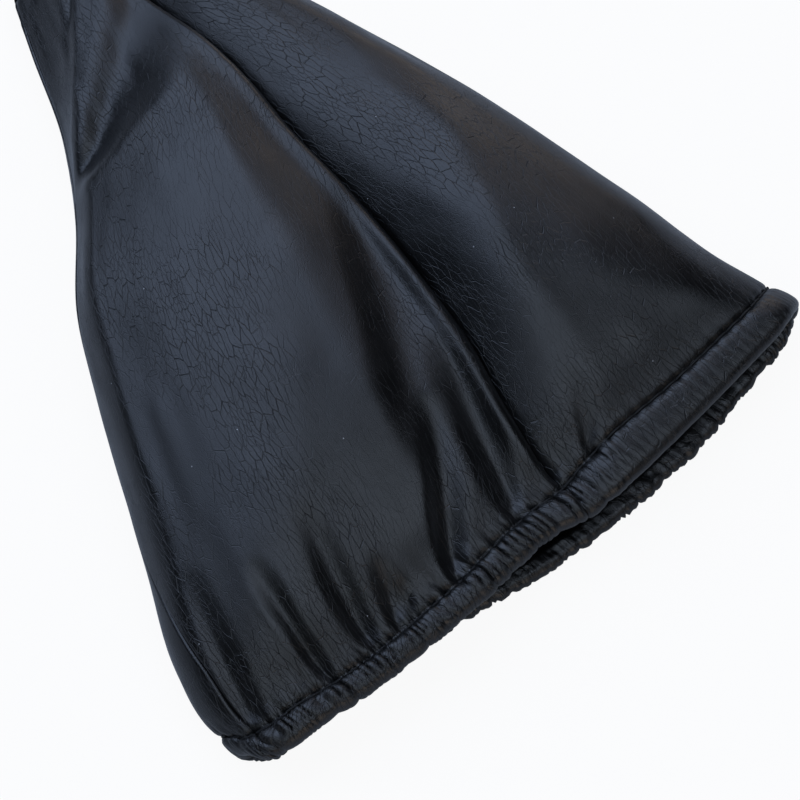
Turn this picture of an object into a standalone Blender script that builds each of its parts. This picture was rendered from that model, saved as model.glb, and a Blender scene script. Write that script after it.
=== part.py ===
"""Gear lever gaiter: a soft cover sewn from four panels, lying flat, with elastic in its hem.

The cover lies on the ground with its wide hem towards -Y and its neck towards +Y.
Shares: "along" runs from the hem (0) to the neck (1), "across" from the left edge
(0) to the right edge (1). Lengths in this file are millimetres until the last step.
"""
import bmesh
import bpy
import numpy as np

MM = 0.001
NAME = "gear_lever_gaiter"

# Covering
SKIN = 1.0              # thickness of the leathercloth
GAP = 0.3               # room between two pieces that meet
ALLOWANCE = 5.0         # depth of the seam allowances turned inside
SEAM_SINK = 0.65        # how far a sewn seam lies under the covering beside it

# Plan
HEM_Y = -101.0          # where the two corners of the hem lie
NECK_Y = 121.0          # where the neck ends
LENGTH = NECK_Y - HEM_Y
NECK_BOW = 2.0          # how far the neck's edge bows out

# Hem and neck turnings, as (distance from the edge, depth under the outside)
HEM_TURN = [(10.6, 3.1), (6.0, 3.6), (1.8, 3.6), (0.24, 2.7), (0.24, 0.9), (1.8, 0.0),
            (5.0, 0.0), (7.8, 0.0), (9.0, 1.2), (10.0, 1.2), (11.2, 0.0)]
NECK_TURN = [(8.8, 0.0), (7.9, 1.0), (7.0, 1.0), (6.1, 0.0), (1.3, 0.0), (0.0, 1.3),
             (1.3, 2.6), (9.6, 2.6)]
HEM_BAND = (2.2, 7.2, 1.5, 2.6)     # elastic: from, to, top and bottom depth
HEM_THREAD = (9.5, 0.05, 0.35)      # thread: distance from the edge, depth, radius
NECK_THREAD = (7.45, -0.1, 0.3)

# Rows of the covering between the two turnings
BODY_ROWS = [0.066, 0.09, 0.125, 0.18, 0.27, 0.39, 0.51, 0.595, 0.645, 0.69, 0.73,
             0.77, 0.81, 0.855, 0.90]
ALLOWANCE_FROM = 0.066
ALLOWANCE_TO = 0.90

# Gathers: every other column is drawn in
HEM_GATHER = 0.6
NECK_GATHER = 0.3
GATHERED_TO = 0.125     # share along where the gathers from the hem have died out
BEND_PACE = 8.0         # columns count a full turn of the section as this many radii more

# Columns in each panel, all even so that the gathers close at the seams
COLUMNS = {"upper_wide_panel": 24, "upper_narrow_panel": 18,
           "lower_wide_panel": 14, "lower_narrow_panel": 14}


def track(*knots):
    """A smooth curve through (position, value) knots, as a function."""
    at = np.array([k[0] for k in knots], float)
    val = np.array([k[1] for k in knots], float)
    slope = np.gradient(val, at)

    def value(p):
        p = np.clip(p, at[0], at[-1])
        i = np.clip(np.searchsorted(at, p, side="right") - 1, 0, len(at) - 2)
        span = at[i + 1] - at[i]
        t = (p - at[i]) / span
        ease = t * t * (3 - 2 * t)
        return ((1 - ease) * val[i] + ease * val[i + 1]
                + t * (1 - t) ** 2 * span * slope[i]
                - t * t * (1 - t) * span * slope[i + 1])
    return value


# Outline of the lying cover along its length
LEFT_X = track((0, -97.5), (0.05, -99.0), (0.12, -97), (0.25, -86), (0.45, -69),
               (0.55, -59.2), (0.65, -43.4), (0.75, -31.8), (0.88, -22), (1, -13))
RIGHT_X = track((0, 97.8), (0.05, 94.2), (0.1, 90), (0.25, 81.7), (0.45, 70.4), (0.65, 56),
                (0.8, 44.5), (1, 33.5))
EDGE_Z = track((0, 7), (0.3, 9), (1, 11))
CREST_Z = track((0, 17.5), (0.05, 20.5), (0.1, 26.5), (0.18, 33), (0.3, 38.5), (0.45, 41),
                (0.6, 40), (0.72, 36), (0.85, 30), (1, 24))
SHOULDER = track((0, 14), (0.1, 34), (0.2, 48), (0.35, 58), (0.5, 60), (0.7, 42),
                 (0.85, 29), (1, 21))
UNDER_SHOULDER = track((0, 7), (0.3, 14), (0.8, 15), (1, 14))

# How far the hem bows out between its corners, by share across
TOP_BOW = track((0, 0), (0.02, 4.5), (0.05, 7), (0.13, 9), (0.3, 9.6), (0.45, 9.2),
                (0.57, 10.8), (0.68, 8.6), (0.85, 6), (0.95, 3.2), (1, 0))
UNDER_BOW = track((0, 0), (0.02, 5.6), (0.05, 8.2), (0.11, 7.8), (0.2, 9.2), (0.31, 9.8),
                  (0.43, 13), (0.57, 14.8), (0.72, 14.5), (0.85, 10), (0.95, 5.8), (0.98, 3.6),
                  (1, 0))

# Seams across: two on the upper side, two on the under side
LEFT_SEAM = track((0, 0.02), (0.06, 0.042), (0.15, 0.05), (0.3, 0.034), (0.5, 0.014), (1, 0.02))
MIDDLE_SEAM = track((0, 0.555), (0.1, 0.575), (0.27, 0.607), (0.45, 0.622), (0.6, 0.612),
                    (0.7, 0.595), (0.83, 0.55), (1, 0.5))
RIGHT_SEAM = track((0, 0.95), (1, 0.9))
UNDER_SEAM = track((0, 0.36), (1, 0.42))

# The valley that the middle seam lies in
VALLEY = track((0, 2), (0.05, 5), (0.1, 9), (0.2, 15), (0.35, 19), (0.5, 20), (0.65, 18),
               (0.8, 12), (0.92, 5), (1, 2))
VALLEY_LEFT = track((0, 16), (0.1, 34), (0.27, 35), (0.4, 30), (0.5, 22), (0.6, 15),
                    (0.75, 11), (1, 9))
VALLEY_RIGHT = track((0, 16), (0.1, 27), (0.27, 22), (0.4, 20), (0.5, 25), (0.6, 19),
                     (0.7, 13), (1, 9))
ROLL = track((0, 0.4), (0.1, 2.0), (0.6, 2.2), (0.8, 1.0), (1, 0))

# Creases on the upper side, as (x, y, depth, half width) along each
CREASES = {
    "flank": [(14, -14, 0, 4), (3, -36, 3.0, 7), (-8, -56, 2.5, 8), (-13, -70, 0, 7)],
    "neck_lip": [(15, 92, 0, 8), (8, 75, 6, 11), (-9, 59, 8, 12), (-24, 50, 7, 11),
                 (-38, 45, 4, 8)],
    "neck_left": [(2, 112, 0, 6), (-5, 96, 4.5, 9), (-21, 73, 5, 9), (-34, 52, 2, 7)],
    "gather_1": [(-68, -103, 0.5, 5), (-67, -94, 2.5, 6), (-66, -80, 0, 5)],
    "gather_2": [(-57, -104, 0.6, 5), (-56, -94, 4.0, 7), (-54, -84, 3.0, 8), (-52, -72, 0, 6)],
    "gather_3": [(-48, -104, 0.5, 5), (-46, -95, 2.2, 5), (-42, -84, 0, 5)],
    "gather_4": [(-29, -104, 0.6, 5), (-25, -94, 4.0, 7), (-14, -80, 2.5, 8), (-8, -70, 0, 6)],
    "gather_5": [(-7, -103, 0.6, 5), (-4, -94, 3.0, 6), (3, -80, 0, 6)],
    "gather_6": [(21, -104, 0.6, 4), (25, -94, 1.6, 6), (31, -80, 0, 6)],
    "gather_7": [(-93, -102, 0.4, 4), (-90, -92, 2.0, 5), (-84, -78, 0, 5)],
}


def shoulder(t):
    """Height share of a rounded shoulder: 0 at the edge, 1 from t = 1 on."""
    return np.sqrt(1 - (1 - np.clip(t, 0, 1)) ** 2)


def crease_drop(x, y, crease):
    """How deep one crease presses the surface at the points (x, y)."""
    nearest = np.full(np.shape(x), 1e9)
    drop = np.zeros(np.shape(x))
    for (ax, ay, ad, aw), (bx, by, bd, bw) in zip(crease, crease[1:]):
        run = (bx - ax) ** 2 + (by - ay) ** 2
        t = np.clip(((x - ax) * (bx - ax) + (y - ay) * (by - ay)) / run, 0, 1)
        away = np.hypot(x - ax - t * (bx - ax), y - ay - t * (by - ay))
        near = np.clip(1 - away / (aw + t * (bw - aw)), 0, 1)
        here = (ad + t * (bd - ad)) * near * near * (3 - 2 * near)
        closer = away < nearest
        drop = np.where(closer, here, drop)
        nearest = np.where(closer, away, nearest)
    return drop


def valley_drop(along, away):
    """The valley at the middle seam; away is the distance to the right of the seam."""
    reach = np.where(away < 0, VALLEY_LEFT(along), VALLEY_RIGHT(along))
    near = np.clip(1 - np.abs(away) / reach, 0, 1)
    roll = ROLL(along) * np.exp(-((away + 5.0) / 2.4) ** 2)
    return VALLEY(along) * near ** 1.4 - roll


def surface(along, turn, creased=True):
    """Middle of the covering round one cross section.

    turn goes 0 to 1 over the upper side from left to right, and 1 to 2 back underneath.
    """
    turn = np.mod(turn, 2.0)
    upper = turn <= 1.0
    across = 0.5 - 0.5 * np.cos(np.pi * turn)
    left = LEFT_X(along)
    width = RIGHT_X(along) - left
    x = left + across * width
    bow = np.where(upper, TOP_BOW(across), UNDER_BOW(across)) * (1 - along)
    y = HEM_Y + LENGTH * along - bow + NECK_BOW * along * 4 * across * (1 - across)
    edge = EDGE_Z(along)
    rounding = (shoulder(across * width / SHOULDER(along))
                * shoulder((1 - across) * width / SHOULDER(along)))
    top = edge + (CREST_Z(along) - edge) * rounding
    if creased:
        drop = valley_drop(along, x - left - MIDDLE_SEAM(along) * width)
        for crease in CREASES.values():
            drop = drop + crease_drop(x, y, crease)
        top = top - drop * shoulder(across * width / 12) * shoulder((1 - across) * width / 12)
    under = UNDER_SHOULDER(along)
    lift = 1 - shoulder(across * width / under) * shoulder((1 - across) * width / under)
    bottom = SKIN / 2 + (edge - SKIN / 2) * lift
    return np.stack([x, y, np.where(upper, top, bottom)], -1)


def seam_turns(along):
    """Where the four seams cross this section, and the first one again a lap later."""
    def upper(share):
        return np.arccos(1 - 2 * share) / np.pi
    first = upper(LEFT_SEAM(along))
    return [first, upper(MIDDLE_SEAM(along)), 2 - upper(RIGHT_SEAM(along)),
            2 - upper(UNDER_SEAM(along)), first + 2]


def seam_frame(along, turn):
    """A seam's point, its inward direction and the direction across it."""
    close = surface(along, turn + np.linspace(-0.006, 0.006, 5))
    before = close[2] - close[0]
    after = close[4] - close[2]
    chord = before / np.linalg.norm(before) + after / np.linalg.norm(after)
    across = np.array([chord[0], 0, chord[2]])
    across /= np.linalg.norm(across)
    return close[2], np.array([across[2], 0, -across[0]]), across


def column_turns(along, start, end, columns, gather=None):
    """Turns of one panel's columns on one section, closer where the section bends.

    A sewn row keeps clear of the seam for its allowances. A row that only meets the
    next panel, with its gather given, keeps the gap to it at both faces.
    """
    turns = np.linspace(start, end, 241)
    fine = surface(along, turns)
    walk = np.concatenate([[0], np.cumsum(np.linalg.norm(np.diff(fine, axis=0), axis=1))])
    plain = np.diff(surface(along, turns, creased=False), axis=0)
    bend = np.unwrap(np.arctan2(plain[:, 2], plain[:, 0]))
    pace = walk + BEND_PACE * np.concatenate([[0], np.abs(bend - bend[0])])
    ends = []
    for turn, near, sign in ((start, slice(0, 60), 1), (end, slice(-60, None), -1)):
        here, inside, over = seam_frame(along, turn)
        clear = (SKIN + GAP) / 2
        if gather is not None:
            step = sign * (pace[-1] - pace[0]) / columns
            beside = surface(along, np.interp(pace[near][::sign][0] + step, pace, turns))
            chord = beside + inside * gather - here
            tilt = abs(chord @ inside) / np.hypot(chord @ inside, chord @ over)
            clear = GAP / 2 + SKIN / 2 * tilt
        ends.append(np.interp(sign * clear, (fine[near] - here) @ over, pace[near]))
    return np.interp(np.linspace(*ends, columns + 1), pace, turns)


def drawn_in(along, turns, gather):
    """How far each column is drawn in: every other one, less where the section bends."""
    across = 0.5 - 0.5 * np.cos(np.pi * turns)
    width = RIGHT_X(along) - LEFT_X(along)
    open_share = np.clip(np.minimum(across, 1 - across) * width / 16, 0, 1)
    return np.arange(len(turns)) % 2 * gather * open_share


def points_inside(along, turns, depth):
    """Points of the section at these turns, moved inside by a depth."""
    close = surface(along, np.stack([turns - 1e-3, turns + 1e-3], -1))
    run = close[:, 1] - close[:, 0]
    side = np.stack([run[:, 2], np.zeros(len(run)), -run[:, 0]], -1)
    side /= np.linalg.norm(side, axis=1, keepdims=True)
    return surface(along, turns) + side * np.reshape(depth, (-1, 1))


def skin_rows():
    """Rows of the covering: share along, depth inside and how much it is gathered."""
    rows = [(m / LENGTH, n, HEM_GATHER) for m, n in HEM_TURN]
    rows += [(r, 0.0, HEM_GATHER * float(np.interp(r, (0.05, GATHERED_TO), (1, 0))))
             for r in BODY_ROWS]
    rows += [(1 - m / LENGTH, n, NECK_GATHER) for m, n in NECK_TURN]
    return rows


def new_object(name, mesh, material, collection):
    """Puts a finished mesh in the collection with its own material."""
    obj = bpy.data.objects.new(name, mesh)
    obj.data.materials.append(material)
    collection.objects.link(obj)
    return obj


def panel(name, seam, material, collection):
    """One panel of the covering: a folded sheet given its thickness by Solidify."""
    columns = COLUMNS[name]
    mesh = bmesh.new()
    grid = []
    allowances = ([], [])
    for number, (along, depth, gather) in enumerate(skin_rows()):
        turns = seam_turns(along)
        sewn = ALLOWANCE_FROM <= along <= ALLOWANCE_TO and depth == 0.0
        stops = column_turns(along, turns[seam], turns[seam + 1], columns,
                             None if sewn else gather)
        inside = depth + drawn_in(along, stops, gather)
        if sewn:
            inside[[0, -1]] += SEAM_SINK
        points = points_inside(along, stops, inside)
        grid.append([mesh.verts.new(p * MM) for p in points])
        if sewn:
            for end, at in ((0, seam), (1, seam + 1)):
                tip = points[-end] + seam_frame(along, turns[at])[1] * ALLOWANCE
                allowances[end].append((number, mesh.verts.new(tip * MM)))
    for low, high in zip(grid, grid[1:]):
        for i in range(columns):
            mesh.faces.new((low[i], low[i + 1], high[i + 1], high[i]))
    for end, tips in enumerate(allowances):
        for (row, tip), (above, tip_above) in zip(tips, tips[1:]):
            low = grid[row][-end]
            high = grid[above][-end]
            for corners in ((low, tip, tip_above), (low, tip_above, high)):
                mesh.faces.new(corners if end else corners[::-1])
    data = bpy.data.meshes.new(name)
    mesh.normal_update()
    mesh.to_mesh(data)
    mesh.free()
    obj = new_object(name, data, material, collection)
    solid = obj.modifiers.new("thickness", "SOLIDIFY")
    solid.thickness = SKIN * MM
    solid.offset = 0.0
    solid.use_even_offset = True
    solid.use_rim = True
    return obj


def ring(name, corners, edge, toward, material, collection):
    """A closed ring in a turning; corners are (distance from the edge, depth) pairs."""
    mesh = bmesh.new()
    loops = []
    for distance, depth in corners:
        along = edge + toward * distance / LENGTH
        seams = seam_turns(along)
        stops = [column_turns(along, seams[k], seams[k + 1], columns, 0.0)[:-1]
                 for k, columns in enumerate(COLUMNS.values())]
        points = points_inside(along, np.concatenate(stops), depth)
        loops.append([mesh.verts.new(p * MM) for p in points])
    stations = len(loops[0])
    for loop, following in zip(loops, loops[1:] + loops[:1]):
        for i in range(stations):
            j = (i + 1) % stations
            mesh.faces.new((loop[i], loop[j], following[j], following[i]))
    bmesh.ops.recalc_face_normals(mesh, faces=mesh.faces)
    data = bpy.data.meshes.new(name)
    mesh.to_mesh(data)
    mesh.free()
    return new_object(name, data, material, collection)


def band_corners(band):
    near, far, top, bottom = band
    return [(near, top), (far, top), (far, bottom), (near, bottom)]


def thread_corners(thread):
    distance, depth, radius = thread
    angles = np.radians([90, 210, 330])
    return [(distance + radius * np.sin(a), depth + radius * np.cos(a)) for a in angles]


def leathercloth(name, colour, roughness):
    material = bpy.data.materials.new(name)
    material.use_nodes = True
    shader = material.node_tree.nodes["Principled BSDF"]
    shader.inputs["Base Color"].default_value = (*colour, 1.0)
    shader.inputs["Roughness"].default_value = roughness
    material.diffuse_color = (*colour, 1.0)
    return material


def main():
    for obj in list(bpy.data.objects):
        bpy.data.objects.remove(obj, do_unlink=True)
    collection = bpy.data.collections.new(NAME)
    bpy.context.scene.collection.children.link(collection)
    for seam, name in enumerate(COLUMNS):
        cloth = leathercloth(name, (0.022, 0.022, 0.024), 0.45)
        panel(name, seam, cloth, collection)
    elastic = leathercloth("hem_elastic", (0.62, 0.60, 0.56), 0.8)
    ring("hem_elastic", band_corners(HEM_BAND), 0.0, 1.0, elastic, collection)
    thread = leathercloth("hem_thread", (0.015, 0.014, 0.014), 0.6)
    ring("hem_thread", thread_corners(HEM_THREAD), 0.0, 1.0, thread, collection)
    thread = leathercloth("neck_thread", (0.015, 0.014, 0.014), 0.6)
    ring("neck_thread", thread_corners(NECK_THREAD), 1.0, -1.0, thread, collection)


main()
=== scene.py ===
"""Gear lever gaiter of black leathercloth, lying flat with its elastic hem towards -Y.

Shape functions work in millimetres; meshes are metres. "along" runs from the hem (0) to
the neck (1). "turn" runs from 0 to 1 over the upper side, left to right, and on to 2
underneath. "from_edge" is the distance up the covering from the hem's fold.
"""
import math

import bpy
import numpy as np
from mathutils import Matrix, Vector


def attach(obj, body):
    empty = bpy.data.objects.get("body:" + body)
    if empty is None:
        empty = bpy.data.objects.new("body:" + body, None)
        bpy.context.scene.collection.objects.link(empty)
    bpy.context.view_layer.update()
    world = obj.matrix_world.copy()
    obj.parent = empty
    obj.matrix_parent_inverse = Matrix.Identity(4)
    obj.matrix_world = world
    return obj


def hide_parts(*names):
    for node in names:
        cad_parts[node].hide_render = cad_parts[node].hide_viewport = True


MM = 0.001
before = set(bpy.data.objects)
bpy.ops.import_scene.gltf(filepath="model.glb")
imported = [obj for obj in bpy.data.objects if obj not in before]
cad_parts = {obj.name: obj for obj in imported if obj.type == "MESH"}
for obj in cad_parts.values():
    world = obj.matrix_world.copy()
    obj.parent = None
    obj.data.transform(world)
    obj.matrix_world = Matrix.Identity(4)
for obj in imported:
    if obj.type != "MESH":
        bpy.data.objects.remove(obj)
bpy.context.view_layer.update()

# ---------------------------------------------------------------- sizes

SKIN = 1.0              # thickness of the leathercloth
GAP = 0.04              # room between two panels at a seam
BUTT_GAP = 0.03         # distance of a panel's edge from the seam in the hem and the neck
FLANGE = (1.6, 3.4, 5.0)    # rows of the seam allowances turned inside
HEM_Y = -101.0
NECK_Y = 121.0
LENGTH = NECK_Y - HEM_Y
NECK_BOW = 2.0          # how far the neck's end bows out
BEND_PACE = 8.0         # width that a bend of one radian counts for when columns are laid
SECTION_SAMPLES = 401   # fine samples across a panel, from which its columns are picked
SEAM_SAMPLES = 80       # those of them that are searched beside each seam

ROUND_SHARE = 0.5       # share of the upper side's height that the roll at an outline gains
LEFT_ROLL = 7.5         # width of that roll at the left outline
RIGHT_ROLL = 12.0
RIGHT_SLOPE = 0.75      # width of the long slope at the right, as a share of the left one's
FACET_EDGE = 0.03       # softness of the left facet's edge, as a share of the height
OUTLINE_FADE = 12.0     # the valley and the folds fade out this close to an outline

TUBE_LAYERS = 3.6       # from the hem's outer layer to its turned-in layer
STITCH_FROM_EDGE = 9.5  # row of stitches, from the hem's fold
TURNED_IN = 11.6        # how far the hem's turning reaches inside
STITCH_GROOVE = 1.0     # how deep the stitches draw the leathercloth in
HEM_FULLNESS = 1.3      # how far the hem's tube swells between fold and stitches
HEM_ZONE = 15.0         # rows closer to the edge than this have twice the columns
STITCH_PITCH = 5.0
FINE_PITCH = 2.7        # distance between the fine gathers of the hem
BROAD_PITCH = 9.5       # and between the broad ones
SEAM_ROLL = 1.25        # radius of a panel's edge where it rolls into a seam
EDGE_ROLL = {(0, 0): 0.45, (3, 1): 0.45, (1, 0): 3.2}   # other radii, by panel and side
# How far the wide panel's edge stands over the middle seam, by distance up from the hem
STAND_OVER = ((14, 30, 60, 120, 160, 205), (0.0, 1.0, 1.6, 1.6, 1.4, 0.4))

NECK_LAYERS = 2.6       # from the neck's outer layer to its turned-in layer
NECK_STITCH = 7.45      # row of stitches, from the neck's end
NECK_TURNED_IN = 9.6
NECK_FROM = 0.93        # share along at which the neck's turning begins

# Shares along between which the seams have allowances turned inside
ALLOWANCE_FROM = 0.066
ALLOWANCE_TO = 0.90

# Columns in the body of each panel, left to right over the top and back underneath
COLUMNS = {"upper_wide_panel": 170, "upper_narrow_panel": 104,
           "lower_wide_panel": 84, "lower_narrow_panel": 72}

PUCKERS = {"upper_narrow_panel": 0.1}     # share of the others' fine wrinkles in the hem


def track(*knots):
    """A smooth curve through (position, value) knots, as a function."""
    at = np.array([k[0] for k in knots], float)
    val = np.array([k[1] for k in knots], float)
    slope = np.gradient(val, at)

    def value(p):
        p = np.clip(p, at[0], at[-1])
        i = np.clip(np.searchsorted(at, p, side="right") - 1, 0, len(at) - 2)
        span = at[i + 1] - at[i]
        t = (p - at[i]) / span
        ease = t * t * (3 - 2 * t)
        return ((1 - ease) * val[i] + ease * val[i + 1]
                + t * (1 - t) ** 2 * span * slope[i]
                - t * t * (1 - t) * span * slope[i + 1])
    return value


LEFT_X = track((0, -96.0), (0.03, -97.8), (0.055, -98.9), (0.12, -97), (0.25, -86), (0.45, -69),
               (0.55, -59.2), (0.65, -43.4), (0.75, -31.8), (0.88, -22), (1, -13))
RIGHT_X = track((0, 97.8), (0.05, 94.2), (0.1, 90), (0.25, 81.2), (0.45, 69.2), (0.65, 54.6),
                (0.8, 43), (1, 32))
EDGE_Z = track((0, 7), (0.3, 9), (1, 11))
CREST_Z = track((0, 17.5), (0.05, 20.5), (0.1, 26.5), (0.18, 33), (0.3, 38.5), (0.45, 41),
                (0.6, 40), (0.72, 36), (0.85, 30), (1, 24))
SHOULDER = track((0, 14), (0.1, 34), (0.2, 48), (0.35, 58), (0.5, 60), (0.7, 42),
                 (0.85, 29), (1, 21))
UNDER_SHOULDER = track((0, 7), (0.3, 14), (0.8, 15), (1, 14))
TOP_BOW = track((0, 2.5), (0.016, 7.0), (0.04, 8.7), (0.1, 9.4), (0.166, 10.7), (0.233, 11.1),
                (0.3, 10.8), (0.357, 10.6), (0.43, 9.2), (0.5, 8.5), (0.57, 10.4), (0.62, 10.3),
                (0.7, 9.1), (0.78, 7.5), (0.866, 5.5), (0.95, 3.0), (1, 0))
UNDER_BOW = track((0, 2.5), (0.02, 6.0), (0.05, 6.2), (0.11, 6.2), (0.2, 7), (0.31, 8.0),
                  (0.37, 9.4), (0.43, 11.6), (0.57, 13.7), (0.72, 12.9), (0.79, 11.2),
                  (0.85, 8.6), (0.95, 4.6), (0.98, 2.8), (1, 0))
# How wide the stitched hem lies, by share across its upper side
HEM_WIDTH = track((0, 7.0), (0.1, 5.9), (0.25, 5.5), (0.4, 6.2), (0.5, 7.0), (0.55, 8.0),
                  (0.6, 9.8), (0.8, 9.2), (1, 8.4))
UNDER_HEM_WIDTH = track((0, 7.0), (0.1, 6.4), (0.85, 6.6), (1, 8.4))

# Turn at which the left seam lies: on the upper side near the hem, and along the left
# outline above it
LEFT_SEAM = track((0, 0.09), (0.05, 0.118), (0.1, 0.116), (0.17, 0.085), (0.25, 0.03),
                  (0.34, 0.0), (0.6, 0.045), (1, 0.05))
# Places of the other seams, as shares across
MIDDLE_SEAM = track((0, 0.555), (0.1, 0.575), (0.27, 0.607), (0.45, 0.622), (0.6, 0.612),
                    (0.7, 0.595), (0.83, 0.55), (1, 0.5))
RIGHT_SEAM = track((0, 0.95), (1, 0.9))
UNDER_SEAM = track((0, 0.36), (1, 0.42))

# The valley that the middle seam lies in, and the fold that rolls over it from the left:
# its depth, the part of it left of the seam, its widths to both sides and the roll's height
VALLEY = track((0, 2), (0.05, 5), (0.1, 8.5), (0.2, 13.5), (0.35, 17), (0.5, 17), (0.65, 14.5),
               (0.8, 10), (0.92, 5), (1, 2))
LEFT_DROP = track((0, 2), (0.05, 4), (0.1, 5.5), (0.2, 7.5), (0.35, 9), (0.5, 8.5), (0.6, 6),
                  (0.68, 3), (0.76, 1.5), (0.86, 0.8), (1, 0.6))
VALLEY_LEFT = track((0, 16), (0.1, 28), (0.27, 31), (0.4, 29), (0.5, 24), (0.6, 18),
                    (0.75, 14), (1, 10))
VALLEY_RIGHT = track((0, 16), (0.1, 26), (0.27, 24), (0.4, 31), (0.5, 40), (0.6, 36),
                     (0.7, 28), (0.8, 22), (1, 13))
ROLL_AT, ROLL_LEFT, ROLL_RIGHT = -2.1, 3.0, 1.3     # the roll's middle and its two widths
ROLL = track((0, 0.4), (0.1, 1.9), (0.25, 2.6), (0.45, 2.1), (0.6, 1.2), (0.8, 0.5), (1, 0))

# How far the flat facet beside the neck reaches in from the left outline
LEFT_FACET = track((0.66, 0.3), (0.74, 3.5), (0.795, 8.5), (0.845, 13), (0.93, 15), (1, 16))

# Folds of the upper side. Each is (sharpness from 0 to 1, knots), and a knot is (x, y,
# depth, width to the left, width to the right) as one walks from the neck to the hem.
FOLDS = {
    "neck valley": (0.0, [(13, 95, 0.8, 18, 8), (8, 84, 3.0, 20, 9), (1.5, 75, 4.2, 22, 10),
                          (-10, 64, 4.8, 20, 10), (-19, 57.5, 5.0, 15, 9),
                          (-26, 53, 5.0, 10, 7), (-32, 50.5, 4.8, 8, 5),
                          (-39, 48.5, 4.0, 5, 4)]),
    "neck crease": (0.2, [(1.5, 124, 1.2, 2, 3.4), (-2.4, 106, 1.2, 2, 3.4),
                          (-4.5, 97, 1.3, 2, 3.4), (-11.5, 86.5, 1.2, 2, 3),
                          (-19.5, 75.5, 0.9, 2, 2.6), (-29, 63, 0.5, 2, 2),
                          (-36, 53, 0, 1.5, 1.5)]),
    "flank": (0.0, [(20, 4, 0, 9, 8), (8.5, -23, 2.0, 12, 9.5), (0.5, -44, 2.8, 13, 10),
                    (-7, -58, 2.3, 12, 10), (-13, -72, 1.0, 9, 8), (-16, -80, 0, 7, 6)]),
    "gather a": (0.1, [(-47.8, -66.3, 0, 6, 5), (-49.8, -75.8, 1.7, 6, 5.5),
                       (-52.5, -88.5, 3.1, 6.5, 6), (-54.2, -98.8, 2.8, 5, 4.5),
                       (-54.8, -105, 1.0, 3.5, 3.5)]),
    "gather b": (0.1, [(-65.7, -70, 0, 4, 4), (-67.3, -79, 1.2, 4.5, 4.5), (-68.2, -90, 2.1, 4, 4),
                       (-68.5, -99, 2.2, 4, 4), (-68.7, -104.6, 1.0, 3, 3)]),
    "puff": (0.0, [(-58.7, -74, 0, 6, 6), (-61.2, -86, -0.7, 7, 7),
                   (-61.8, -97, -1.1, 7, 7), (-61.7, -103.5, -0.8, 5, 5)]),
    "gather c": (0.1, [(-41.3, -86.8, 0, 4, 4), (-42.5, -93.2, 1.5, 4.5, 4.5),
                       (-44.2, -98.5, 2.1, 4.5, 4.5), (-46.5, -103.4, 1.6, 3.5, 3.5),
                       (-47.5, -106, 0.6, 3, 3)]),
    "gather d": (0.3, [(-38.3, -94.8, 0, 3, 3), (-40.4, -100.2, 1.5, 3.2, 3.4),
                       (-42, -105, 1.0, 3, 3)]),
    "gather e": (0.1, [(-3.6, -62.9, 0, 6, 5), (-7.5, -70.9, 2.0, 7, 6),
                       (-14.5, -82.6, 3.4, 8, 6.5), (-20.5, -91.9, 3.8, 7, 6),
                       (-25.3, -100.5, 3.0, 5, 4.5), (-27, -105.4, 1.0, 3.5, 3.5)]),
    "gather f": (0.0, [(8, -50, 0, 6, 6), (5, -64, 1.7, 8, 8), (1, -79, 3.0, 8, 8),
                       (-1.8, -92, 3.1, 6, 6.5), (-4.8, -102, 1.5, 3.5, 3.5)]),
    "gather g": (0.2, [(31, -80, 0, 5, 4), (26, -92, 1.6, 5, 4), (22.5, -99.5, 1.6, 4, 3.5),
                       (21, -103, 0.4, 3, 3)]),
    "beside left seam": (0.1, [(-80, -60, 0, 5, 4), (-84, -74, 1.2, 6, 4),
                               (-87.5, -88, 2.2, 6, 4.5), (-89.5, -98, 1.6, 5, 4),
                               (-90.5, -103, 0.5, 4, 3)]),
    "upper pull at middle seam": (
        0.8, [(16.6, 42.7, 0.35, 1.5, 1.5), (11, 50, 0.25, 1.2, 1.2), (4, 55, 0, 1, 1)]),
    "lower pull at middle seam": (
        0.8, [(15.6, 38.6, 0.3, 1.3, 1.3), (7, 45, 0.2, 1.2, 1.2), (1, 50, 0, 1, 1)]),
}


# ---------------------------------------------------------------- shape

def smooth(low, high, value):
    """0 below low, 1 above high and an S curve between."""
    t = np.clip((value - low) / (high - low), 0, 1)
    return t * t * (3 - 2 * t)


def lattice(seed, i, j):
    """A fixed random number from -1 to 1 for each whole (i, j)."""
    n = (i * 374761393 + j * 668265263 + seed * 974634777) & 0xFFFFFFFF
    n = ((n ^ (n >> 13)) * 1274126177) & 0xFFFFFFFF
    n = ((n ^ (n >> 16)) * 2246822519) & 0xFFFFFFFF
    return (n ^ (n >> 15)) / 2147483647.5 - 1


def noise(seed, u, v=0.0):
    """Smooth noise from -1 to 1 over a plane, one bump to each whole step."""
    u, v = np.broadcast_arrays(np.asarray(u, float), np.asarray(v, float))
    i, j = np.floor(u).astype(np.int64), np.floor(v).astype(np.int64)
    a, b = u - i, v - j
    a, b = a * a * (3 - 2 * a), b * b * (3 - 2 * b)
    low = lattice(seed, i, j) * (1 - a) + lattice(seed, i + 1, j) * a
    high = lattice(seed, i, j + 1) * (1 - a) + lattice(seed, i + 1, j + 1) * a
    return low * (1 - b) + high * b


def shoulder(t):
    """Height share of a rounded shoulder: 0 at the edge, 1 from t = 1 on."""
    return np.sqrt(1 - (1 - np.clip(t, 0, 1)) ** 2)


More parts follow.
